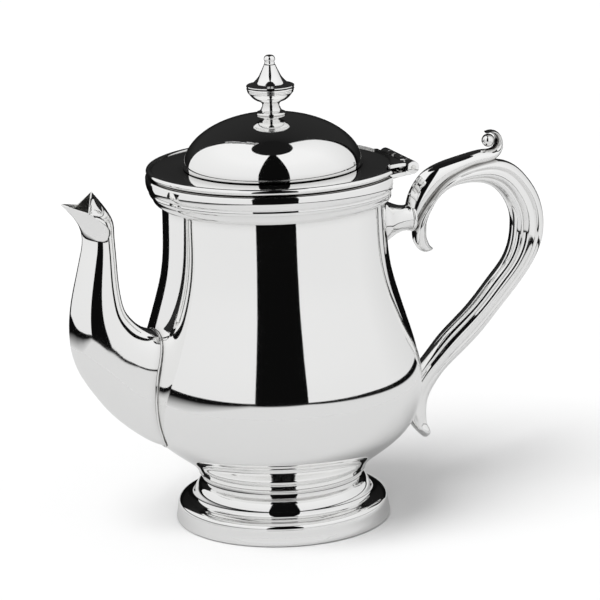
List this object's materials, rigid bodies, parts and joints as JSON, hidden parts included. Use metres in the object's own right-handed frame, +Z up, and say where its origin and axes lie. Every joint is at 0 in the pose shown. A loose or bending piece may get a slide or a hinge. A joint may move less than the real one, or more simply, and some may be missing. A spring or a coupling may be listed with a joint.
{
  "type": "silver teapot",
  "caption": "Polished silver teapot with a pear-shaped body, turned foot, high bird-beak spout, scroll handle and a hinged domed lid with a spire finial.",
  "frame": {"origin": "under the middle of the pot's length, in the plane that the foot stands on", "axes": "+Z up along the body's axis, +X towards the handle, -X towards the spout"},
  "size_m": [0.2209, 0.1246, 0.2046],
  "materials": {
    "polished_silver": "mirror-polished silver plate",
    "interior_silver": "soft satin silver, on pieces that are mostly hidden",
    "brass": "plain turned brass fixings under the lid"
  },
  "bodies": {
    "pot": {"body_shell": "polished_silver", "body_rim_moulding": "polished_silver", "foot_collar": "polished_silver", "foot": "polished_silver", "foot_base_band": "polished_silver", "spout": "polished_silver", "spout_joint_bead": "polished_silver", "handle_socket": "polished_silver", "handle_socket_collar": "polished_silver", "handle_scroll": "polished_silver", "handle_leaf": "polished_silver", "handle_curl": "polished_silver", "hinge_body_leaf": "polished_silver", "hinge_pin": "interior_silver"},
    "lid": {"lid_flange": "polished_silver", "lid_rim_bead": "polished_silver", "lid_dome": "polished_silver", "lid_bezel": "interior_silver", "hinge_lid_leaf": "polished_silver", "finial_base": "polished_silver", "finial_cup": "polished_silver", "finial_bell": "polished_silver", "finial_button": "polished_silver", "finial_stud": "brass", "finial_washer": "interior_silver", "finial_nut": "brass"}
  },
  "joints": [
    {"name": "lid_hinge", "type": "hinge", "parent": "pot", "child": "lid", "pos_m": [0.04235, 0, 0.153], "axis": [0, 1, 0], "range_deg": [0, 105]}
  ]
}
